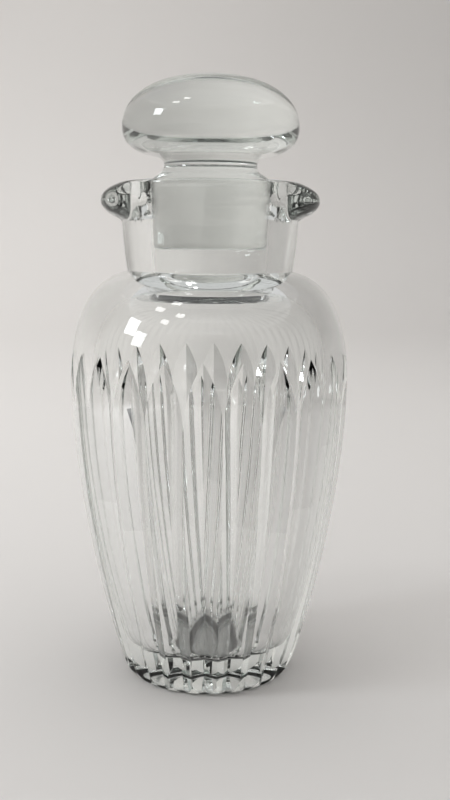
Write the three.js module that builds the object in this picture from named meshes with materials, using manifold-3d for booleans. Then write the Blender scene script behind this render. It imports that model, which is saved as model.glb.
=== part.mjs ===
// A cut-crystal mixing glass: a thick-walled vessel with two pour lips, closed by a solid glass stopper.
// Millimetres, +Z up, origin on the table under the vessel's axis. The lips point along +X and -X.
import * as THREE from "three";
import { mergeVertices } from "three/addons/utils/BufferGeometryUtils.js";
import Module from "manifold-3d";

// Vessel, outside. Radii are to the crests between the cuts.
const FOOT_FLAT_R = 30; // outer edge of the flat ring that stands on the table
const FOOT_HOLLOW_R = 24; // inner edge of that ring
const FOOT_HOLLOW_DEPTH = 0.8;
const FOOT_BEVEL_H = 5; // height at which the foot's ground edge meets the body
const FOOT_R = 33.7; // the body's side carried down to the table
const BELLY_R = 55.3;
const BELLY_Z = 121;
const SIDE_SPREAD = 9.6; // how far the side leans out over the lowest quarter
const SHOULDER_Z = 164.5; // sharp crease between shoulder and neck
const NECK_BASE_R = 32.7;
const NECK_FLARE = 2.5; // how much wider the neck is at the rim
const NECK_H = 34.3;
const RIM_ROUND = 1.6;

// Vessel, inside.
const FLOOR_Z = 15;
const FLOOR_R = 27; // where the floor starts to turn up
const FLOOR_ROUND = 9; // height of the round between floor and side
const FLOOR_CORNER_IN = 1.5; // how far the round's corner stands inside the side
const WALL = 8.7; // from a crest to the inside
const SHOULDER_WALL = 7; // glass between the crease and the space below it
const BORE_R = 23.7; // ground seat for the stopper, at the rim
const BORE_TAPER = 1.6; // how much narrower the seat is at its foot
const BORE_BELOW_CREASE = 1.5; // where the seat ends
const BORE_FLARE = 4; // how much wider the bore's mouth is where it opens into the body
const BORE_MOUTH_DIP = 1; // how far above the roof the mouth's curve turns up

// The cuts: upright V grooves that meet edge to edge from MEET_Z down and run out in points at TIP_Z.
const CUTS = 24;
const CUT_HALF_ANGLE = THREE.MathUtils.degToRad(60); // between the radius and a groove's flank
const MEET_Z = 109;
const TIP_Z = 134;

// Pour lips.
const LIP_OUT = 7.9; // from the neck's outside to a lip's nose
const LIP_ROOT_IN = 6; // how deep its root reaches into the neck's wall
const LIP_SPREAD = THREE.MathUtils.degToRad(35); // from a lip's middle round to where it has left the neck
const LIP_HALF_H = 6.7; // half the height of the swelling
const LIP_FULLNESS = 0.7; // how soon the swelling falls away above and below
const LIP_SUNK = 0.8; // depth of its edges under the neck's skin
const LIP_BELOW_RIM = 0.5; // from the rim to the top of the swelling
const CHANNEL_R = 6.5;
const CHANNEL_DEPTH = 4.8; // below the rim, where the channel leaves the bore
const CHANNEL_DROP = THREE.MathUtils.degToRad(6); // slope of the channel towards the nose

// Stopper.
const SEAT_GAP = 0.3; // between plug and bore
const PLUG_LENGTH = 25.1; // below the rim
const PLUG_EDGE = 1.2;
const STEM_R = 18.3;
const STEM_RISE = 6.7; // from the rim to the stem's narrowest height
const KNOB_R = 34.5;
const KNOB_UNDER = 14; // from there to the knob's widest height
const KNOB_DOME = 20.2; // from the widest height to the top

// Worked out from the sizes above.
const NECK_TOP_R = NECK_BASE_R + NECK_FLARE;
const RIM_Z = SHOULDER_Z + NECK_H;
const BORE_BASE_R = BORE_R - BORE_TAPER;
const BORE_BASE_Z = SHOULDER_Z - BORE_BELOW_CREASE;

// How finely curves are divided.
const ROUND = 48; // facets around every turned surface
const SIDE_STEPS = 10;
const INSIDE_STEPS = 7;
const EDGE_STEPS = 3;
const STOPPER_STEPS = 6;
const LIP_STEPS_ROUND = 16;
const LIP_STEPS_UP = 10;
const CHANNEL_FACETS = 24;
const SIDE_READINGS = 60; // points along the side's curve from which its radius is read
const CLEAR_ABOVE = 5; // how far a cutter stands above the rim

const wasm = await Module();
wasm.setup();

// The closed solid of a geometry: equal corners merged and faces that have shrunk to a line left out.
function solid(geometry) {
  const bare = geometry.index ? geometry.clone() : geometry;
  for (const name of Object.keys(bare.attributes)) {
    if (name !== "position") bare.deleteAttribute(name);
  }
  const merged = mergeVertices(bare, 1e-4);
  const corners = merged.index.array;
  const faces = [];
  for (let i = 0; i < corners.length; i += 3) {
    const [a, b, c] = corners.slice(i, i + 3);
    if (a !== b && b !== c && c !== a) faces.push(a, b, c);
  }
  return new wasm.Manifold(
    new wasm.Mesh({
      numProp: 3,
      vertProperties: merged.attributes.position.array,
      triVerts: new Uint32Array(faces),
    }),
  );
}

function meshOf(made, name, material) {
  const { vertProperties, triVerts } = made.getMesh();
  const geometry = new THREE.BufferGeometry();
  geometry.setAttribute("position", new THREE.BufferAttribute(vertProperties, 3));
  geometry.setIndex(new THREE.BufferAttribute(triVerts, 1));
  geometry.computeVertexNormals();
  const mesh = new THREE.Mesh(geometry, material);
  mesh.name = name;
  return mesh;
}

// A solid of revolution about +Z from an outline of (radius, height), which runs upwards on its outside.
function turned(outline) {
  return solid(new THREE.LatheGeometry(outline, ROUND).rotateX(Math.PI / 2));
}

// The points of a path without the doubles where two pieces of it join.
function outlineOf(path, steps) {
  const points = path.getPoints(steps);
  return points.filter((p, i) => i === 0 || p.distanceTo(points[i - 1]) > 1e-6);
}

// A curve that swells from a start leaning by `lean` out to radius r at height z, where it stands upright.
function swell(path, start, lean, r, z) {
  const rise = z - start.y;
  path.bezierCurveTo(start.x + lean, start.y + 0.235 * rise, r, start.y + 0.66 * rise, r, z);
}

// A curve that closes in from upright at (r, z) over a round shoulder to (endR, endZ).
function closeIn(path, r, z, endR, endZ) {
  const rise = endZ - z;
  path.bezierCurveTo(r, z + 0.49 * rise, r - 0.25 * (r - endR), endZ - 0.08 * rise, endR, endZ);
}

// The body's side from the table to the belly, then over the shoulder to the crease.
function bodySide() {
  const side = new THREE.Path();
  side.moveTo(FOOT_R, 0);
  swell(side, side.currentPoint, SIDE_SPREAD, BELLY_R, BELLY_Z);
  closeIn(side, BELLY_R, BELLY_Z, NECK_BASE_R, SHOULDER_Z);
  return side;
}

// Outline of the uncut vessel filled solid, from the middle of the foot to the middle of the rim.
function blankOutline() {
  const side = outlineOf(bodySide(), SIDE_STEPS).filter((p) => p.y > FOOT_BEVEL_H);
  const foot = new THREE.Path();
  foot.moveTo(0, FOOT_HOLLOW_DEPTH);
  foot.quadraticCurveTo(0.6 * FOOT_HOLLOW_R, FOOT_HOLLOW_DEPTH, FOOT_HOLLOW_R, 0);
  foot.lineTo(FOOT_FLAT_R, 0);
  foot.quadraticCurveTo(FOOT_R, 0.2 * FOOT_BEVEL_H, side[0].x, side[0].y);
  const neck = new THREE.Path();
  neck.moveTo(NECK_BASE_R, SHOULDER_Z);
  neck.quadraticCurveTo(NECK_TOP_R, (SHOULDER_Z + RIM_Z) / 2, NECK_TOP_R, RIM_Z - RIM_ROUND);
  neck.quadraticCurveTo(NECK_TOP_R, RIM_Z, NECK_TOP_R - RIM_ROUND, RIM_Z);
  neck.lineTo(0, RIM_Z);
  return [...outlineOf(foot, EDGE_STEPS), ...side.slice(1, -1), ...outlineOf(neck, EDGE_STEPS)];
}

// Depth of a groove where the crests stand at radius r: full where the grooves meet, and none at their tips.
function cutDepth(r, z) {
  const meeting = Math.PI / CUTS;
  const full = r * (1 - Math.sin(CUT_HALF_ANGLE - meeting) / Math.sin(CUT_HALF_ANGLE));
  const run = THREE.MathUtils.clamp((TIP_Z - z) / (TIP_Z - MEET_Z), 0, 1);
  return full * (1 - (1 - run) ** 2);
}

// One row of the cut body at outline point p: crest, groove edge, groove bottom and groove edge, all round.
function cutRow(p) {
  const bottom = p.y > TIP_Z ? p.x : sideRadius(p.y) - cutDepth(sideRadius(p.y), p.y);
  const reach = Math.min(bottom / Math.max(p.x, 1e-9), 1);
  const edge = CUT_HALF_ANGLE - Math.asin(reach * Math.sin(CUT_HALF_ANGLE));
  const row = [];
  for (let k = 0; k < CUTS; k++) {
    const middle = (k * 2 * Math.PI) / CUTS;
    row.push([middle - Math.PI / CUTS, p.x]);
    row.push([middle - edge, p.x]);
    row.push([middle, Math.min(p.x, bottom)]);
    row.push([middle + edge, p.x]);
  }
  return row.map(([turn, r]) => new THREE.Vector3(r * Math.cos(turn), r * Math.sin(turn), p.y));
}

// Radius of the body's side at height z, read along its curve.
const SIDE = outlineOf(bodySide(), SIDE_READINGS);
function sideRadius(z) {
  const above = Math.max(1, SIDE.findIndex((p) => p.y >= z));
  const low = SIDE[above - 1];
  const high = SIDE[above];
  return THREE.MathUtils.mapLinear(z, low.y, high.y, low.x, high.x);
}

// The solid blank with its grooves, as rows of points joined into one closed skin.
function cutBlank() {
  const outline = blankOutline();
  for (const z of [MEET_Z, TIP_Z]) {
    const above = outline.findIndex((p) => p.y > z);
    outline.splice(above, 0, new THREE.Vector2(sideRadius(z), z));
  }
  const rows = outline.map(cutRow);
  const across = rows[0].length;
  const positions = rows.flat().flatMap((v) => [v.x, v.y, v.z]);
  const faces = [];
  for (let i = 0; i + 1 < rows.length; i++) {
    for (let j = 0; j < across; j++) {
      const a = i * across + j;
      const b = i * across + ((j + 1) % across);
      faces.push(a, b, b + across, a, b + across, a + across);
    }
  }
  const geometry = new THREE.BufferGeometry();
  geometry.setAttribute("position", new THREE.Float32BufferAttribute(positions, 3));
  geometry.setIndex(faces);
  return solid(geometry);
}

// The space inside: rounded floor, side a wall's thickness in, shoulder, tapered bore and an open top.
function insideSpace() {
  const belly = BELLY_R - WALL;
  const roof = SHOULDER_Z - SHOULDER_WALL;
  const turnUp = new THREE.Vector2(sideRadius(FLOOR_Z + FLOOR_ROUND) - WALL, FLOOR_Z + FLOOR_ROUND);
  const inside = new THREE.Path();
  inside.moveTo(0, FLOOR_Z);
  inside.lineTo(FLOOR_R, FLOOR_Z);
  inside.quadraticCurveTo(turnUp.x - FLOOR_CORNER_IN, FLOOR_Z, turnUp.x, turnUp.y);
  swell(inside, turnUp, 0.75 * SIDE_SPREAD, belly, BELLY_Z);
  closeIn(inside, belly, BELLY_Z, BORE_BASE_R + BORE_FLARE, roof);
  inside.quadraticCurveTo(BORE_BASE_R, roof + BORE_MOUTH_DIP, BORE_BASE_R, BORE_BASE_Z);
  inside.lineTo(BORE_R, RIM_Z - RIM_ROUND);
  inside.quadraticCurveTo(BORE_R, RIM_Z, BORE_R + RIM_ROUND, RIM_Z + 0.1);
  inside.lineTo(BORE_R + RIM_ROUND, RIM_Z + CLEAR_ABOVE);
  inside.lineTo(0, RIM_Z + CLEAR_ABOVE);
  return turned(outlineOf(inside, INSIDE_STEPS));
}

// One lip towards +X: a block bent round the neck, whose outer face swells by a broad-topped cosine
// hill across and a rounded hill in height. Its edges lie just under the neck's skin.
function lip() {
  const block = new THREE.BoxGeometry(1, 1, 1, 1, LIP_STEPS_ROUND, LIP_STEPS_UP);
  const places = block.getAttribute("position");
  const middle = RIM_Z - LIP_BELOW_RIM - LIP_HALF_H;
  for (let i = 0; i < places.count; i++) {
    const across = 2 * places.getY(i);
    const up = 2 * places.getZ(i);
    const round = 0.5 * (1 + Math.cos(Math.PI * across));
    const hill = round * (2 - round) * (1 - up ** 2) ** LIP_FULLNESS;
    const outer = NECK_TOP_R - LIP_SUNK + (LIP_OUT + LIP_SUNK) * hill;
    const r = places.getX(i) < 0 ? NECK_TOP_R - LIP_ROOT_IN : outer;
    const turn = across * LIP_SPREAD;
    places.setXYZ(i, r * Math.cos(turn), r * Math.sin(turn), middle + up * LIP_HALF_H);
  }
  return solid(block);
}

// The round-bottomed channel that runs from the bore out over the lip towards +X.
function channel() {
  const length = 2 * NECK_TOP_R;
  const cutter = new THREE.CylinderGeometry(CHANNEL_R, CHANNEL_R, length, CHANNEL_FACETS);
  cutter.rotateZ(-Math.PI / 2).translate(length / 2, 0, 0);
  cutter.rotateY(CHANNEL_DROP);
  cutter.translate(0, 0, RIM_Z - CHANNEL_DEPTH + CHANNEL_R + BORE_R * Math.tan(CHANNEL_DROP));
  return solid(cutter);
}

function vessel(material) {
  const halfTurn = [0, 0, 180];
  const lips = lip().add(lip().rotate(halfTurn));
  const channels = channel().add(channel().rotate(halfTurn));
  const glass = cutBlank().add(lips).subtract(insideSpace()).subtract(channels);
  return meshOf(glass, "vessel", material);
}

// Radius of the plug at height z: the bore's own taper, a gap smaller.
function plugRadius(z) {
  const bore = THREE.MathUtils.mapLinear(z, BORE_BASE_Z, RIM_Z - RIM_ROUND, BORE_BASE_R, BORE_R);
  return bore - SEAT_GAP;
}

// Plug, waisted stem and domed knob, turned in one piece.
function stopper(material) {
  const base = RIM_Z - PLUG_LENGTH;
  const plugTop = RIM_Z - 0.5 * RIM_ROUND;
  const stem = RIM_Z + STEM_RISE;
  const widest = stem + KNOB_UNDER;
  const top = widest + KNOB_DOME;
  const collar = STEM_R + 0.3 * (plugRadius(plugTop) - STEM_R);
  const cone = STEM_R + 0.26 * (KNOB_R - STEM_R);
  const brim = KNOB_R - 0.35 * (KNOB_R - STEM_R);
  const side = new THREE.Path();
  side.moveTo(0, base);
  side.lineTo(plugRadius(base) - PLUG_EDGE, base);
  side.lineTo(plugRadius(base), base + PLUG_EDGE);
  side.lineTo(plugRadius(plugTop), plugTop);
  side.quadraticCurveTo(plugRadius(plugTop), RIM_Z + 0.25 * STEM_RISE, collar, RIM_Z + 0.5 * STEM_RISE);
  side.quadraticCurveTo(STEM_R, stem - 0.3 * STEM_RISE, STEM_R, stem);
  side.quadraticCurveTo(STEM_R, stem + 0.18 * KNOB_UNDER, cone, stem + 0.24 * KNOB_UNDER);
  side.bezierCurveTo(brim, stem + 0.33 * KNOB_UNDER, KNOB_R, stem + 0.5 * KNOB_UNDER, KNOB_R, widest);
  side.bezierCurveTo(KNOB_R, widest + 0.67 * KNOB_DOME, 0.56 * KNOB_R, top, 0, top);
  return meshOf(turned(outlineOf(side, STOPPER_STEPS)), "stopper", material);
}

const crystal = new THREE.MeshStandardMaterial({
  color: 0xe4ebe6,
  roughness: 0.04,
  metalness: 0,
  transparent: true,
  opacity: 0.35,
});
const stopperCrystal = crystal.clone();

const mixingGlass = new THREE.Group();
mixingGlass.add(vessel(crystal), stopper(stopperCrystal));

export default mixingGlass;
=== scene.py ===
"""Cut-crystal mixing glass: a vessel with two pour lips and a solid glass stopper, on a pale studio sweep."""

import bpy
import numpy as np
from bpy.props import FloatProperty, FloatVectorProperty, IntProperty, PointerProperty
from mathutils import Matrix, Vector


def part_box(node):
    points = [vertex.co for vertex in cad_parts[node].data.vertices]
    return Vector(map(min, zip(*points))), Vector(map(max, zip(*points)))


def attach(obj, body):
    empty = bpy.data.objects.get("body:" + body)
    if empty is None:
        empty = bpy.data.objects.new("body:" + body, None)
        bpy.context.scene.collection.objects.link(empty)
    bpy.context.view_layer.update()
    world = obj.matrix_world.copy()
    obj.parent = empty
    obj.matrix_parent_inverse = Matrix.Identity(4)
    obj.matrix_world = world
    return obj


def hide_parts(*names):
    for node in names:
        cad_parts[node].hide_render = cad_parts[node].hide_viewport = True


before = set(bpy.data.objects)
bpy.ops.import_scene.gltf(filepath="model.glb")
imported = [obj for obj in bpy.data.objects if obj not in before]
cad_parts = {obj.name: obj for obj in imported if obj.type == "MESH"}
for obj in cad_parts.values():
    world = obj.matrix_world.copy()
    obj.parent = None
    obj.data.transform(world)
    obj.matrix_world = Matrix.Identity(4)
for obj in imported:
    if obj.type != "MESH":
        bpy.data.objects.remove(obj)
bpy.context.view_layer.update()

bl_info = {
    "name": "Cut-crystal mixing glass",
    "version": (1, 0, 0),
    "blender": (4, 5, 0),
    "location": "View3D > Sidebar > Mixing glass",
    "description": "Builds a cut-crystal mixing glass with a stopper on a pale studio sweep",
    "category": "Object",
}

MM = 0.001
MERGE_PLACES = 6  # points that agree to this many places of a metre are one
SIDE_STEPS = 60  # curve points on each stretch of the body's side
SIDE_READINGS = 80  # points where only a radius is read off that side
SWEEP_FLAT, SWEEP_OUT, SWEEP_BEND, SWEEP_TOP = 1.5, 2.3, 0.8, 2.0
SKIN_SIDES, SWEEP_SIDES = 160, 96
VESSEL_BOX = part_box("vessel")
STOPPER_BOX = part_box("stopper")
RIM = float(VESSEL_BOX[1][2])
TOP = float(STOPPER_BOX[1][2])
PLUG_BASE = float(STOPPER_BOX[0][2])


# ---------------------------------------------------------------- sizes and looks


def length(name, description, millimetres):
    """A length property whose default is given in millimetres."""
    return FloatProperty(name=name, description=description, default=millimetres * MM, unit="LENGTH")


class VesselSizes(bpy.types.PropertyGroup):
    foot_flat: length("Foot flat", "Outer radius of the ring that stands on the table", 30)
    foot_hollow: length("Foot hollow", "Inner radius of that ring", 24)
    foot_hollow_depth: length("Hollow depth", "Depth of the hollow inside the foot ring", 0.8)
    foot_bevel: length("Foot edge height", "Height of the foot's ground edge", 5)
    foot: length("Foot radius", "Radius of the side carried down to the table", 33.7)
    belly: length("Belly radius", "Widest radius, over the crests of the cuts", 55.25)
    belly_height: length("Belly height", "Height of the widest place", 121)
    spread: length("Side spread", "How far the side leans out over its lowest quarter", 9.6)
    crease: length("Crease height", "Height of the crease between shoulder and neck", 164.5)
    neck: length("Neck radius", "Radius of the neck at the crease", 32.7)
    neck_flare: length("Neck flare", "How much wider the neck is at the rim", 2.5)
    rim_round: length("Rim rounding", "Radius of the rim's polished edges", 1.6)
    floor: length("Floor height", "Height of the inside floor", 15)
    floor_radius: length("Floor radius", "Radius where the floor starts to turn up", 27)
    floor_round: length("Floor rounding", "Height of the round between floor and side", 9)
    wall: length("Wall", "Glass from a crest to the inside", 8.7)
    shoulder_wall: length("Shoulder wall", "Glass between the crease and the space below", 7)
    bore: length("Bore radius", "Radius of the stopper's seat at the rim", 23.7)
    bore_taper: length("Bore taper", "How much narrower the seat is at its foot", 1.6)
    bore_end: length("Bore end", "How far below the crease the seat ends", 1.5)
    bore_flare: length("Bore flare", "How much wider the bore's mouth is at the body", 4)
    cuts: IntProperty(name="Cuts", description="Number of upright V cuts", default=24, min=3)
    cut_angle: FloatProperty(
        name="Cut half angle",
        description="Angle between the radius and a cut's flank",
        default=np.radians(60),
        subtype="ANGLE",
    )
    cut_meet: length("Cuts meet", "Height below which neighbouring cuts share a crest", 109)
    cut_tip: length("Cut tips", "Height where the cuts run out", 134)
    lip_out: length("Lip reach", "From the neck's outside to a lip's nose", 7.9)
    lip_spread: FloatProperty(
        name="Lip spread",
        description="From a lip's middle round to where it has left the neck",
        default=np.radians(35),
        subtype="ANGLE",
    )
    lip_half_height: length("Lip half height", "Half the height of a lip's swelling", 6.7)
    lip_fullness: FloatProperty(
        name="Lip fullness", description="How soon a lip falls away above and below", default=0.7
    )
    lip_below_rim: length("Lip below rim", "Distance from the rim to the top of the swelling", 0.5)
    channel_half: length("Channel half width", "Half the width of a pouring channel", 8)
    channel_depth: length("Channel depth", "Depth of the channel where it leaves the bore", 4.8)
    channel_drop: FloatProperty(
        name="Channel slope",
        description="Slope of the channel towards the nose",
        default=np.radians(6),
        subtype="ANGLE",
    )
    waviness: length("Waviness", "How far the blown inside strays from true", 0.12)


class StopperSizes(bpy.types.PropertyGroup):
    seat_gap: length("Seat gap", "Gap between plug and bore", 0.3)
    plug_edge: length("Plug edge", "Width of the chamfer round the plug's end", 1.2)
    stem: length("Stem radius", "Narrowest radius of the stem", 18.3)
    stem_rise: length("Stem rise", "From the rim to the stem's narrowest height", 6.7)
    knob: length("Knob radius", "Widest radius of the knob", 34.5)
    knob_under: length("Knob underside", "From the stem's narrowest height to the knob's widest", 14)


class GlassLook(bpy.types.PropertyGroup):
    ior: FloatProperty(name="IOR", description="Refractive index of lead crystal", default=1.545)
    tint: FloatVectorProperty(
        name="Tint", description="Colour at the surface", subtype="COLOR", default=(0.995, 1.0, 0.997)
    )
    depth_tint: FloatVectorProperty(
        name="Depth tint",
        description="Colour of light through thick glass",
        subtype="COLOR",
        default=(0.74, 0.79, 0.76),
    )
    depth: FloatProperty(name="Depth", description="How soon thick glass darkens", default=9)
    smears: FloatProperty(name="Smears", description="Roughness of the smears in the polish", default=0.025)
    unevenness: FloatProperty(
        name="Unevenness", description="Strength of the worked surface's waves", default=0.02
    )
    wear: FloatProperty(name="Wear", description="Roughness of the ring it stands on", default=0.35)


class StageLook(bpy.types.PropertyGroup):
    floor: FloatVectorProperty(
        name="Floor", description="Colour of the pale sweep", subtype="COLOR", default=(0.86, 0.845, 0.83)
    )
    # Painted shade in the sweep's colour: the next three settings darken it in front of the glass, high behind
    # it and on the side away from the key, standing in for light falling off.
    painted_near_shade: FloatProperty(
        name="Near shade", description="Brightness of the sweep in front of the glass", default=0.86
    )
    high: FloatProperty(
        name="High shade", description="Brightness of the sweep high behind the glass", default=0.9
    )
    painted_right_shade: FloatProperty(
        name="Right shade", description="Brightness on the side away from the key", default=0.72
    )
    sky: FloatProperty(name="Sky", description="Strength of the even light all round", default=1.15)
    # Painted reflection: a card overhead that only the glass shows, glowing dimmer than the sky; light that
    # reaches the sweep through the glass comes from it too, a painted shade under the glass.
    painted_overhead_glow: FloatProperty(
        name="Ceiling", description="Brightness of the card above, seen in the glass", default=0.66
    )
    key: FloatProperty(name="Key", description="Power of the key light in watts", default=5)
    panes: FloatProperty(name="Panes", description="Power of each small overhead light in watts", default=1.2)
    # Painted reflection: dark glowing cards in front that only the glass shows, with brighter soft edges,
    # standing in for a dark room.
    flag: FloatProperty(name="Flag", description="Brightness of the dark cards in front", default=0.03)
    painted_reflection_edge: FloatProperty(name="Flag edge", description="Brightness of their soft edges", default=0.4)


# ---------------------------------------------------------------- surfaces


def bezier(points, steps):
    """Points along a Bezier curve of any degree: its control points weighed by Bernstein polynomials of t."""
    row = np.asarray(points, float)[:, None, :].repeat(steps + 1, axis=1)
    t = np.linspace(0, 1, steps + 1)[:, None]
    while len(row) > 1:
        row = row[:-1] * (1 - t) + row[1:] * t
    return row[0]


def swell(start, lean, r, z, steps):
    """A curve that leaves its start leaning outwards and stands upright at radius r and height z."""
    rise = z - start[1]
    leave = (start[0] + lean, start[1] + 0.235 * rise)
    arrive = (r, start[1] + 0.66 * rise)
    return bezier([start, leave, arrive, (r, z)], steps)


def close_in(r, z, end_r, end_z, steps):
    """A curve that is upright at radius r and height z and rounds in over a shoulder to its end."""
    rise = end_z - z
    handle = (r - 0.25 * (r - end_r), end_z - 0.08 * rise)
    return bezier([(r, z), (r, z + 0.49 * rise), handle, (end_r, end_z)], steps)


def join(*pieces):
    """Curves laid end to end, each without the point it shares with the one before."""
    return np.concatenate([pieces[0]] + [p[1:] for p in pieces[1:]])


def ring_mesh(name, rings, sharp=None):
    """A closed skin from rings of points: neighbours in a ring and on the next ring make quads, and a ring
    that has shrunk to a point closes the skin. Doubles are merged, and edges sharper than `sharp` stay crisp."""
    rows, across = rings.shape[:2]
    index = np.arange(rows * across).reshape(rows, across)
    a, b = index[:-1], np.roll(index, -1, axis=1)[:-1]
    c, d = np.roll(index, -1, axis=1)[1:], index[1:]
    quads = np.stack([a, b, c, d], axis=-1).reshape(-1, 4)
    points = rings.reshape(-1, 3)
    _, first, same = np.unique(np.round(points, MERGE_PLACES), axis=0, return_index=True, return_inverse=True)
    quads = same.reshape(-1)[quads]
    points = points[first]
    faces = []
    distinct = quads != np.roll(quads, 1, axis=1)
    for count in (3, 4):
        chosen = distinct.sum(axis=1) == count
        faces += quads[chosen][distinct[chosen]].reshape(-1, count).tolist()
    mesh = bpy.data.meshes.new(name)
    mesh.from_pydata(points.tolist(), [], faces)
    mesh.validate()
    mesh.shade_smooth()
    if sharp is not None:
        mesh.set_sharp_from_angle(angle=sharp)
    made = bpy.data.objects.new(name, mesh)
    bpy.context.scene.collection.objects.link(made)
    return made


def polar(r, turn, z):
    """Points at radius r, azimuth turn and height z, as an array whose last axis is x, y, z."""
    r, turn, z = np.broadcast_arrays(r, turn, z)
    return np.stack([r * np.cos(turn), r * np.sin(turn), z], axis=-1)


# ---------------------------------------------------------------- vessel


def body_side(s, steps):
    """Radius and height of the crests from table to crease: a swell to the belly, then the shoulder."""
    low = swell((s.foot, 0), s.spread, s.belly, s.belly_height, steps)
    return join(low, close_in(s.belly, s.belly_height, s.neck, s.crease, steps))


def cut_bottom(s, z):
    """Radius of the cuts' bottoms at height z. The full depth makes neighbouring flanks meet in a crest;
    above the meeting height it falls as a parabola to nothing at the tips."""
    side = body_side(s, SIDE_READINGS)
    r = np.interp(z, side[:, 1], side[:, 0])
    full = r * (1 - np.sin(s.cut_angle - np.pi / s.cuts) / np.sin(s.cut_angle))
    run = np.clip((s.cut_tip - z) / (s.cut_tip - s.cut_meet), 0, 1)
    return r - full * (1 - (1 - run) ** 2)


FLANK, WEDGE = 2, 8  # columns on a cut's flank, and on the uncut glass between two cuts


def cut_rings(s, r, z):
    """Rings round the body at crest radii r and heights z. A flank is the straight line that leaves the cut's
    bottom at the cut angle: radius = bottom sin(angle) / sin(angle - turn). It stops at radius r."""
    bottom = np.minimum(np.where(z < s.cut_tip, cut_bottom(s, z), r), r)
    share = np.divide(bottom, r, out=np.ones_like(r), where=r > 0)
    edge = s.cut_angle - np.arcsin(np.sin(s.cut_angle) * share)
    flank = edge[:, None] * np.linspace(-1, 1, 2 * FLANK + 1)
    pitch = 2 * np.pi / s.cuts
    wedge = edge[:, None] + (pitch - 2 * edge[:, None]) * np.arange(1, WEDGE) / WEDGE
    local = np.concatenate([flank, wedge], axis=1)
    radius = r[:, None].repeat(local.shape[1], axis=1)
    straight = bottom[:, None] * np.sin(s.cut_angle) / np.sin(s.cut_angle - np.abs(flank))
    radius[:, : flank.shape[1]] = np.minimum(straight, r[:, None])
    turn = local[:, None, :] + (pitch * np.arange(s.cuts))[None, :, None]
    radius = radius[:, None, :].repeat(s.cuts, axis=1)
    count = len(r)
    return turn.reshape(count, -1), radius.reshape(count, -1)


def channel_top(s, r, turn):
    """Height of the rim's top: level, less a channel over each lip whose depth is a cosine hump across and
    grows outwards with the channel's slope."""
    across = np.clip(r * np.sin(turn) / s.channel_half, -1, 1)
    depth = s.channel_depth + (r - s.bore) * np.tan(s.channel_drop)
    return RIM - depth * 0.5 * (1 + np.cos(np.pi * across))


def neck_radius(s, turn, z):
    """Radius of the neck's outside: a flaring neck plus a swelling at each lip, a broad-topped cosine hill in
    azimuth times a rounded hill in height."""
    wide = s.neck + s.neck_flare
    flare = bezier([(s.neck, s.crease), (wide, (s.crease + RIM) / 2), (wide, RIM)], 30)
    plain = np.interp(z, flare[:, 1], flare[:, 0])
    off = np.abs((turn + np.pi / 2) % np.pi - np.pi / 2)
    across = np.clip(off / s.lip_spread, 0, 1)
    middle = RIM - s.lip_below_rim - s.lip_half_height
    up = np.clip((z - middle) / s.lip_half_height, -1, 1)
    broad = 0.5 * (1 + np.cos(np.pi * across))
    return plain + s.lip_out * broad * (2 - broad) * (1 - up**2) ** s.lip_fullness


def neck_rings(s, turn):
    """Rings from the crease up the neck's outside, over the rim or along the channel, to the bore's top."""
    low = np.full_like(turn, s.crease)
    top = np.full_like(turn, RIM)
    for _ in range(60):
        top = 0.5 * (top + channel_top(s, neck_radius(s, turn, top), turn))
    outer = neck_radius(s, turn, top)
    bore_top = channel_top(s, np.full_like(turn, s.bore), turn)
    rings = []
    share = np.linspace(0, 1, 34)[1:] ** 0.9
    for t in share:
        z = low + (top - s.rim_round - low) * t
        rings.append((neck_radius(s, turn, z), z))
    before = rings[-1]
    inward = outer - s.rim_round
    after = (inward, channel_top(s, inward, turn))
    rings += corner(before, (outer, top), after, 7)
    for t in np.linspace(0, 1, 9)[1:]:
        r = inward + (s.bore + s.rim_round - inward) * t
        rings.append((r, channel_top(s, r, turn)))
    below = bore_top - s.rim_round
    rings += corner(rings[-1], (np.full_like(turn, s.bore), bore_top), (seat_radius(s, below), below), 7)
    return rings


def corner(before, tip, after, steps):
    """Rings that round a corner: a quadratic Bezier from before to after that bends towards the tip."""
    made = []
    for t in np.linspace(0, 1, steps + 1)[1:]:
        weights = ((1 - t) ** 2, 2 * t * (1 - t), t * t)
        made.append(tuple(sum(w * p[i] for w, p in zip(weights, (before, tip, after))) for i in (0, 1)))
    return made


def seat_radius(s, z):
    """Radius of the bore at height z: a straight taper from the rim to the seat's foot."""
    foot = s.crease - s.bore_end
    return s.bore - s.bore_taper * (RIM - s.rim_round - z) / (RIM - s.rim_round - foot)


def inside_profile(s):
    """Radius and height from the bore's foot down the inside to the middle of the floor."""
    belly = s.belly - s.wall
    roof = s.crease - s.shoulder_wall
    side = body_side(s, SIDE_READINGS)
    turn_z = s.floor + s.floor_round
    turn_up = (np.interp(turn_z, side[:, 1], side[:, 0]) - s.wall, turn_z)
    seat_foot = s.crease - s.bore_end
    narrow = s.bore - s.bore_taper
    floor = bezier([(0, s.floor), (s.floor_radius, s.floor)], 6)
    bend = bezier([(s.floor_radius, s.floor), (turn_up[0] - 1.5 * MM, s.floor), turn_up], 16)
    low = swell(turn_up, 0.75 * s.spread, belly, s.belly_height, 44)
    high = close_in(belly, s.belly_height, narrow + s.bore_flare, roof, 34)
    mouth = bezier([high[-1], (narrow, roof + 1 * MM), (narrow, seat_foot)], 14)
    return join(floor, bend, low, high, mouth)[::-1]


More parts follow.
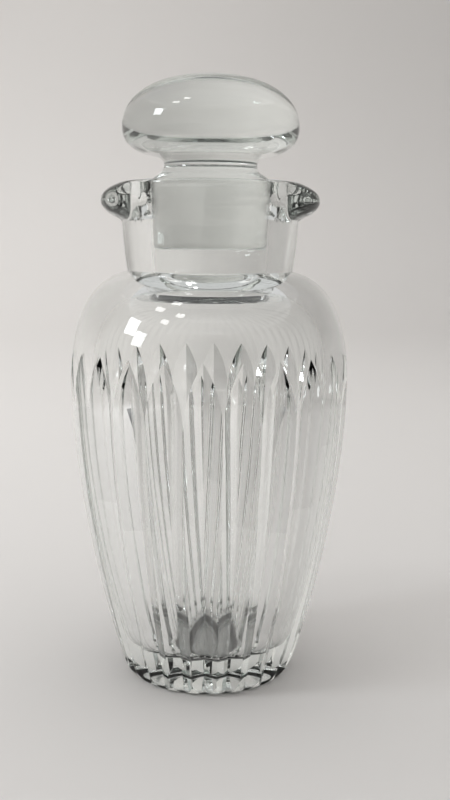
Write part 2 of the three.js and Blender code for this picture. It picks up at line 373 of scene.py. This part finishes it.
def vessel_rings(s):
    """All rings of the vessel's skin, from the middle of the foot round the outside to the inside floor."""
    side = body_side(s, SIDE_STEPS)
    side = side[side[:, 1] > s.foot_bevel]
    marks = [[np.interp(z, side[:, 1], side[:, 0]), z] for z in (s.cut_meet, s.cut_tip)]
    side = np.concatenate([side, marks])
    side = side[np.argsort(side[:, 1])]
    dome = s.foot_hollow_depth
    hollow = bezier([(0, dome), (0.6 * s.foot_hollow, dome), (s.foot_hollow, 0)], 10)
    flat = bezier([(s.foot_hollow, 0), (s.foot_flat, 0)], 3)
    bevel = bezier([(s.foot_flat, 0), (s.foot, 0.2 * s.foot_bevel), side[0]], 14)
    outside = join(hollow, flat, bevel, side)
    turn, radius = cut_rings(s, outside[:, 0], outside[:, 1])
    body = polar(radius, turn, outside[:, 1][:, None])
    last = turn[-1]
    neck = [polar(r, last, z) for r, z in neck_rings(s, last)]
    z_top = neck[-1][:, 2]
    foot = s.crease - s.bore_end
    bore = []
    for t in np.linspace(0, 1, 26)[1:-1]:
        z = z_top + (foot - z_top) * t
        bore.append(polar(seat_radius(s, z), last, z))
    inside = inside_profile(s)
    r, z = inside[:, :1], inside[:, 1:]
    stray = s.waviness * np.cos(2 * last[None, :] + 9 * z / RIM) * np.sin(np.pi * z / s.crease)
    hollow_rings = polar(r + stray * (r > s.floor_radius), last, z)
    return np.concatenate([body, np.stack(neck), np.stack(bore), hollow_rings])


# ---------------------------------------------------------------- stopper


def stopper_profile(s, v):
    """Radius and height of the stopper's outline, from the middle of the plug's end to the knob's top."""
    plug_top = RIM - 0.5 * v.rim_round
    stem = RIM + s.stem_rise
    widest = stem + s.knob_under
    dome = TOP - widest

    def plug(z):
        return float(seat_radius(v, z)) - s.seat_gap

    collar = s.stem + 0.3 * (plug(plug_top) - s.stem)
    cone = s.stem + 0.26 * (s.knob - s.stem)
    brim = s.knob - 0.35 * (s.knob - s.stem)
    end = bezier([(0, PLUG_BASE), (plug(PLUG_BASE) - s.plug_edge, PLUG_BASE)], 8)
    edge = bezier([end[-1], (plug(PLUG_BASE) - 0.2 * s.plug_edge, PLUG_BASE + 0.2 * s.plug_edge),
                   (plug(PLUG_BASE), PLUG_BASE + s.plug_edge)], 5)
    barrel = bezier([edge[-1], (plug(plug_top), plug_top)], 16)
    shoulder = bezier([barrel[-1], (plug(plug_top), RIM + 0.25 * s.stem_rise),
                       (collar, RIM + 0.5 * s.stem_rise)], 10)
    waist = bezier([shoulder[-1], (s.stem, stem - 0.3 * s.stem_rise), (s.stem, stem)], 8)
    flare = bezier([waist[-1], (s.stem, stem + 0.18 * s.knob_under), (cone, stem + 0.24 * s.knob_under)], 8)
    under = bezier([flare[-1], (brim, stem + 0.33 * s.knob_under), (s.knob, stem + 0.5 * s.knob_under),
                    (s.knob, widest)], 28)
    over = bezier([under[-1], (s.knob, widest + 0.67 * dome), (0.56 * s.knob, TOP), (0, TOP)], 40)
    return join(end, edge, barrel, shoulder, waist, flare, under, over)


# ---------------------------------------------------------------- materials


def node(tree, kind, **settings):
    """A node with its sockets set by name, or linked where the setting is another node's output."""
    made = tree.nodes.new(kind)
    for key, value in settings.items():
        socket = made.inputs.get(key.replace("_", " "))
        if socket is None:
            setattr(made, key, value)
        elif isinstance(value, bpy.types.NodeSocket):
            tree.links.new(value, socket)
        else:
            socket.default_value = value
    return made


def crystal(name, look):
    """Polished lead crystal: clear, faintly green in depth, with soft smears of handling in its polish, the
    slight unevenness of worked glass, and a ground, scratched ring where it stands on the table."""
    material = bpy.data.materials.new(name)
    material.use_nodes = True
    tree = material.node_tree
    place = node(tree, "ShaderNodeTexCoord")
    smear = node(tree, "ShaderNodeTexNoise", Vector=place.outputs["Object"], Scale=22.0, Detail=3.0)
    polish = node(tree, "ShaderNodeMapRange", Value=smear.outputs[0], interpolation_type="SMOOTHSTEP")
    set_range(polish, 0.5, 0.75, 0.0, look.smears)
    parts = node(tree, "ShaderNodeSeparateXYZ", Vector=place.outputs["Object"])
    wear = node(tree, "ShaderNodeMapRange", Value=parts.outputs["Z"])
    set_range(wear, 0.0001, 0.0005, look.wear, 0.0)
    rough = node(tree, "ShaderNodeMath", operation="MAXIMUM")
    tree.links.new(polish.outputs[0], rough.inputs[0])
    tree.links.new(wear.outputs[0], rough.inputs[1])
    wave = node(tree, "ShaderNodeTexNoise", Vector=place.outputs["Object"], Scale=60.0, Detail=1.0)
    bump = node(tree, "ShaderNodeBump", Height=wave.outputs[0], Strength=look.unevenness, Distance=0.0004)
    shader = tree.nodes["Principled BSDF"]
    shader.inputs["Base Color"].default_value = (*look.tint, 1)
    shader.inputs["IOR"].default_value = look.ior
    shader.inputs["Transmission Weight"].default_value = 1
    tree.links.new(rough.outputs[0], shader.inputs["Roughness"])
    tree.links.new(bump.outputs[0], shader.inputs["Normal"])
    depth = node(tree, "ShaderNodeVolumeAbsorption", Color=(*look.depth_tint, 1), Density=look.depth)
    tree.links.new(depth.outputs[0], tree.nodes["Material Output"].inputs["Volume"])
    return material


def set_range(ramp, from_low, from_high, low, high):
    """Set the two ranges of a Map Range node."""
    for socket, value in zip(("From Min", "From Max", "To Min", "To Max"), (from_low, from_high, low, high)):
        ramp.inputs[socket].default_value = value


def fade(tree, axis, start, end, low, high):
    """A factor that goes smoothly from low to high between two places along an object axis."""
    place = node(tree, "ShaderNodeTexCoord")
    parts = node(tree, "ShaderNodeSeparateXYZ", Vector=place.outputs["Object"])
    ramp = node(tree, "ShaderNodeMapRange", interpolation_type="SMOOTHSTEP", Value=parts.outputs[axis])
    set_range(ramp, start, end, low, high)
    return ramp.outputs["Result"]


def painted_shade_sweep_material(look):
    """Pale paper with painted shade: its colour is brightest a little behind the glass on the key light's side
    and is darkened all round, in front, high up and away from the key.
    """
    material = bpy.data.materials.new("pale_sweep_painted_shade")
    material.use_nodes = True
    tree = material.node_tree
    # Painted shade: three fades darken the paper's colour towards the front, upwards behind the glass and
    # towards the side away from the key light.
    shade = [
        fade(tree, "Y", -0.5, 0.7, look.painted_near_shade, 1),
        fade(tree, "Z", 0, 1.1, 1, look.high),
        fade(tree, "X", -0.7, 0.8, 1, look.painted_right_shade),
    ]
    product = node(tree, "ShaderNodeMath", operation="MULTIPLY")
    tree.links.new(shade[0], product.inputs[0])
    tree.links.new(shade[1], product.inputs[1])
    both = node(tree, "ShaderNodeMath", operation="MULTIPLY")
    tree.links.new(product.outputs[0], both.inputs[0])
    tree.links.new(shade[2], both.inputs[1])
    colour = node(tree, "ShaderNodeVectorMath", operation="SCALE", Scale=both.outputs[0])
    colour.inputs[0].default_value = tuple(look.floor)
    shader = tree.nodes["Principled BSDF"]
    tree.links.new(colour.outputs[0], shader.inputs["Base Color"])
    shader.inputs["Roughness"].default_value = 0.8
    shader.inputs["Specular IOR Level"].default_value = 0.2
    return material


def painted_reflection_material(name, strength, edge, reach):
    """A surface that only glows, for painted reflections in the glass: `strength` in its middle, and `edge` from
    `reach` metres outwards.
    """
    material = bpy.data.materials.new(name)
    material.use_nodes = True
    tree = material.node_tree
    tree.nodes.clear()
    place = node(tree, "ShaderNodeTexCoord")
    off = node(tree, "ShaderNodeVectorMath", operation="LENGTH")
    tree.links.new(place.outputs["Object"], off.inputs[0])
    ramp = node(tree, "ShaderNodeMapRange", interpolation_type="SMOOTHSTEP", Value=off.outputs["Value"])
    set_range(ramp, 0.4 * reach, reach, strength, edge)
    glow = node(tree, "ShaderNodeEmission", Strength=ramp.outputs["Result"])
    node(tree, "ShaderNodeOutputMaterial", Surface=glow.outputs[0])
    return material


# ---------------------------------------------------------------- operators


class MIXGLASS_OT_vessel(bpy.types.Operator):
    """Build the cut vessel as one closed skin of rings"""

    bl_idname = "mixglass.vessel"
    bl_label = "Build vessel"

    def execute(self, context):
        made = ring_mesh("vessel_glass", vessel_rings(context.scene.mixglass_vessel), sharp=np.radians(17))
        made.data.materials.append(crystal("vessel_crystal", context.scene.mixglass_glass))
        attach(made, "vessel")
        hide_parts("vessel")
        return {"FINISHED"}


class MIXGLASS_OT_stopper(bpy.types.Operator):
    """Turn the stopper: its outline carried once round the axis"""

    bl_idname = "mixglass.stopper"
    bl_label = "Build stopper"

    def execute(self, context):
        outline = stopper_profile(context.scene.mixglass_stopper, context.scene.mixglass_vessel)
        turn = np.linspace(0, 2 * np.pi, SKIN_SIDES, endpoint=False)
        rings = polar(outline[:, :1], turn[None, :], outline[:, 1:])
        made = ring_mesh("stopper_glass", rings, sharp=np.radians(30))
        made.data.materials.append(crystal("stopper_crystal", context.scene.mixglass_glass))
        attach(made, "stopper")
        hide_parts("stopper")
        return {"FINISHED"}


class MIXGLASS_OT_stage(bpy.types.Operator):
    """Lay the pale sweep with its painted shade, hang the studio lights, set glowing cards that paint
    reflections in the glass, and place the camera
    """

    bl_idname = "mixglass.stage"
    bl_label = "Build stage"

    def execute(self, context):
        scene = context.scene
        floor = bezier([(0, 0), (SWEEP_FLAT, 0)], 8)
        bend = bezier([(SWEEP_FLAT, 0), (SWEEP_OUT, 0), (SWEEP_OUT, SWEEP_BEND)], 16)
        wall = bezier([(SWEEP_OUT, SWEEP_BEND), (SWEEP_OUT, SWEEP_TOP)], 4)
        outline = join(floor, bend, wall)
        turn = np.linspace(0, 2 * np.pi, SWEEP_SIDES, endpoint=False)
        sweep = ring_mesh("sweep", polar(outline[:, :1], turn[None, :], outline[:, 1:]))
        sweep.data.flip_normals()
        sweep.data.materials.append(painted_shade_sweep_material(scene.mixglass_stage))

        look = scene.mixglass_stage
        world = bpy.data.worlds.new("studio")
        scene.world = world
        world.use_nodes = True
        world.node_tree.nodes["Background"].inputs["Color"].default_value = (1.0, 0.985, 0.97, 1)
        world.node_tree.nodes["Background"].inputs["Strength"].default_value = look.sky

        key = area_light("key", (-1.42, -0.5, 0.85), (0, 0, 0.08), (0.32, 0.36), look.key)
        key.data.color = (0.93, 0.97, 1.0)
        for i, side in enumerate((-0.17, 0.17)):
            area_light(f"pane_{i}", (-0.9 + side, -0.75, 1.75 + side), (0, 0, 0.12), (0.24, 0.17), look.panes)
        # Painted reflections: glowing cards that only the glass shows, dark ones in front and low down, and a
        # dim one overhead.
        flag("painted_dark_card_front", (0.55, -1.5, 0.35), (0, 0, 0.1), (2.4, 1.6), look.flag, look.painted_reflection_edge)
        flag("painted_dark_card_low", (0.1, -0.75, 0.002), (0.1, -0.75, 1), (2.6, 1.2), look.flag, look.painted_reflection_edge)
        flag("painted_overhead_card", (0, 0, 2.2), (0, 0, 0), (4.4, 4.4), look.painted_overhead_glow, look.painted_overhead_glow)
        place_camera(scene)
        return {"FINISHED"}


def area_light(name, place, target, size, power):
    """A soft rectangular light at a place, facing a target."""
    data = bpy.data.lights.new(name, "AREA")
    data.shape = "RECTANGLE"
    data.size, data.size_y = size
    data.energy = power
    lamp = bpy.data.objects.new(name, data)
    lamp.location = place
    lamp.rotation_euler = (Vector(target) - Vector(place)).to_track_quat("-Z", "Y").to_euler()
    bpy.context.scene.collection.objects.link(lamp)
    return lamp


def flag(name, place, target, size, strength, edge):
    """A glowing card that the glass mirrors and bends but that the camera and the sweep do not see and that
    casts no shadow: a painted reflection of surroundings in the glass.
    """
    half = 0.5 * np.array(size)
    corners = [(-half[0], -half[1], 0), (half[0], -half[1], 0), (half[0], half[1], 0), (-half[0], half[1], 0)]
    mesh = bpy.data.meshes.new(name)
    mesh.from_pydata(corners, [], [(0, 1, 2, 3)])
    card = bpy.data.objects.new(name, mesh)
    card.location = place
    card.rotation_euler = (Vector(target) - Vector(place)).to_track_quat("-Z", "Y").to_euler()
    bpy.context.scene.collection.objects.link(card)
    mesh.materials.append(painted_reflection_material(name, strength, edge, 0.5 * max(size)))
    card.visible_camera = False
    card.visible_diffuse = False
    card.visible_shadow = False


def place_camera(scene):
    """A camera in front of the glass, a little above its belly's height, looking slightly down."""
    distance, height = 0.4127, 0.1779
    azimuth, pitch, yaw, roll = np.radians([2.3, 9.0, 0.88, 0.45])
    data = bpy.data.cameras.new("camera")
    data.lens = 46.35
    data.sensor_width = 36
    data.clip_start = 0.01
    camera = bpy.data.objects.new("camera", data)
    camera.location = (distance * np.sin(azimuth), -distance * np.cos(azimuth), height)
    heading = azimuth - yaw
    look = Vector((-np.sin(heading) * np.cos(pitch), np.cos(heading) * np.cos(pitch), -np.sin(pitch)))
    turn = look.to_track_quat("-Z", "Y").to_matrix().to_4x4()
    turn = turn @ Matrix.Rotation(roll, 4, "Z")
    camera.rotation_euler = turn.to_euler()
    scene.collection.objects.link(camera)
    scene.camera = camera


class MIXGLASS_PT_panel(bpy.types.Panel):
    """The pieces as buttons and their sizes and looks as fields"""

    bl_label = "Mixing glass"
    bl_idname = "MIXGLASS_PT_panel"
    bl_space_type = "VIEW_3D"
    bl_region_type = "UI"
    bl_category = "Mixing glass"

    def draw(self, context):
        for operator in OPERATORS:
            self.layout.operator(operator.bl_idname)
        for group in GROUPS:
            settings = getattr(context.scene, group)
            box = self.layout.box()
            for key in settings.__annotations__:
                box.prop(settings, key)


OPERATORS = (MIXGLASS_OT_vessel, MIXGLASS_OT_stopper, MIXGLASS_OT_stage)
GROUPS = {
    "mixglass_vessel": VesselSizes,
    "mixglass_stopper": StopperSizes,
    "mixglass_glass": GlassLook,
    "mixglass_stage": StageLook,
}


def register():
    for cls in (*GROUPS.values(), *OPERATORS, MIXGLASS_PT_panel):
        bpy.utils.register_class(cls)
    for name, group in GROUPS.items():
        setattr(bpy.types.Scene, name, PointerProperty(type=group))


def unregister():
    for name in GROUPS:
        delattr(bpy.types.Scene, name)
    for cls in (MIXGLASS_PT_panel, *reversed(OPERATORS), *reversed(GROUPS.values())):
        bpy.utils.unregister_class(cls)


def main():
    register()
    bpy.ops.mixglass.vessel()
    bpy.ops.mixglass.stopper()
    bpy.ops.mixglass.stage()
    scene = bpy.context.scene
    scene.view_settings.view_transform = "Standard"
    scene.cycles.max_bounces = 24
    scene.cycles.transmission_bounces = 20
    scene.cycles.glossy_bounces = 8
    scene.cycles.use_denoising = True


if __name__ == "__main__":
    main()
